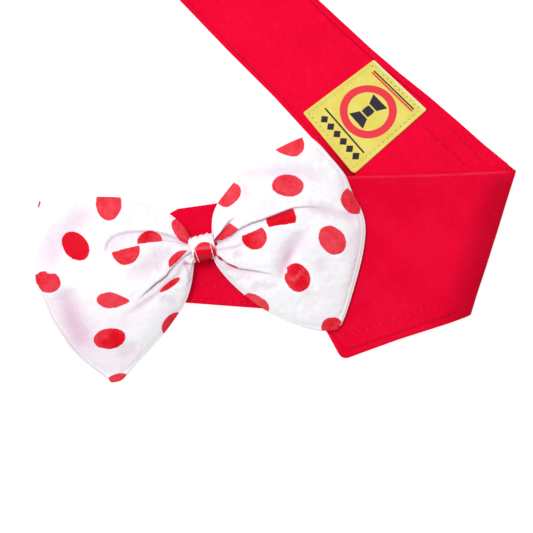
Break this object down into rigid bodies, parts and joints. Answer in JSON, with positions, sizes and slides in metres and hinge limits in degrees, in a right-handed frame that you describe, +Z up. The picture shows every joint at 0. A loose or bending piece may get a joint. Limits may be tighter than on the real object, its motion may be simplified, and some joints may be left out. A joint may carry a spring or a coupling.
{
  "type": "bow tie",
  "caption": "Polka-dot bow tie with a gathered knot and padded wings, tacked to a folded collar-style neck band with a woven label and a hook-and-loop tail.",
  "frame": {"origin": "on the resting plane, below the middle of the woven label on the back of the band", "axes": "+Z up out of the table the tie lies on, towards the bow; +X to the right and +Y to the top of the flat-laid tie as its front is looked at from above"},
  "size_m": [0.1924, 0.2204, 0.019],
  "materials": {
    "red_twill": "matt cotton twill, crimson",
    "red_thread": "matt sewing thread",
    "interfacing": "matt woven interfacing",
    "label_cloth": "fine woven label, slight sheen",
    "label_thread": "fine thread",
    "hook_tape": "moulded nylon hooks on woven tape",
    "loop_tape": "brushed nylon loops on woven tape",
    "dotted_cotton": "smooth sateen cotton, white with round red dots",
    "white_thread": "polished sewing thread",
    "wadding": "soft polyester wadding"
  },
  "bodies": {
    "collar_back": {"back_outer_layer": "red_twill", "back_interfacing": "interfacing", "back_inner_layer": "red_twill", "back_rolled_edge": "red_twill", "back_topstitch": "red_thread", "woven_label": "label_cloth", "label_stitching": "label_thread", "fold_bend_outer_layer": "red_twill", "fold_bend_inner_layer": "red_twill"},
    "tail_tab": {"tail_outer_layer": "red_twill", "tail_interfacing": "interfacing", "tail_inner_layer": "red_twill", "tail_topstitch": "red_thread", "hook_patch": "hook_tape", "hook_patch_stitching": "red_thread"},
    "collar_front": {"front_leaf_lining": "red_twill", "front_leaf_interfacing": "interfacing", "front_leaf_outer": "red_twill", "front_stand_lining": "red_twill", "front_stand_interfacing": "interfacing", "front_stand_outer": "red_twill", "leaf_topstitch_outer_row": "red_thread", "leaf_topstitch_inner_row": "red_thread", "leaf_edge_topstitch": "red_thread", "stand_topstitch": "red_thread", "loop_patch": "loop_tape", "loop_patch_stitching": "red_thread"},
    "bow_knot": {"knot_wrap": "dotted_cotton", "gather_core": "dotted_cotton", "gathering_thread": "white_thread", "knot_edge_stitching": "white_thread", "bow_tack_stitches": "white_thread"},
    "left_wing": {"left_wing_front_panel": "dotted_cotton", "left_wing_back_panel": "dotted_cotton", "left_wing_wadding": "wadding"},
    "right_wing": {"right_wing_front_panel": "dotted_cotton", "right_wing_back_panel": "dotted_cotton", "right_wing_wadding": "wadding"}
  },
  "joints": [
    {"name": "collar_fold", "type": "hinge", "parent": "collar_back", "child": "collar_front", "pos_m": [0.05862, -0.02205, 0.00265], "axis": [0.3014, 0.9535, 0], "range_deg": [0, 170], "deforming": ["fold_bend_outer_layer", "fold_bend_inner_layer"]},
    {"name": "tail_bend", "type": "hinge", "parent": "collar_back", "child": "tail_tab", "pos_m": [-0.06495, 0.06495, 0.0021], "axis": [0.7121, 0.7021, 0], "range_deg": [0, 90]},
    {"name": "bow_tilt", "type": "hinge", "parent": "collar_front", "child": "bow_knot", "pos_m": [-0.0647, -0.0535, 0.0053], "axis": [0, 0, 1], "range_deg": [-12, 12]},
    {"name": "left_wing_flex", "type": "hinge", "parent": "bow_knot", "child": "left_wing", "pos_m": [-0.0684, -0.0549, 0.013], "axis": [-0.3478, 0.9376, 0], "range_deg": [0, 45]},
    {"name": "right_wing_flex", "type": "hinge", "parent": "bow_knot", "child": "right_wing", "pos_m": [-0.0603, -0.0531, 0.013], "axis": [0.098, -0.9952, 0], "range_deg": [0, 45]}
  ]
}
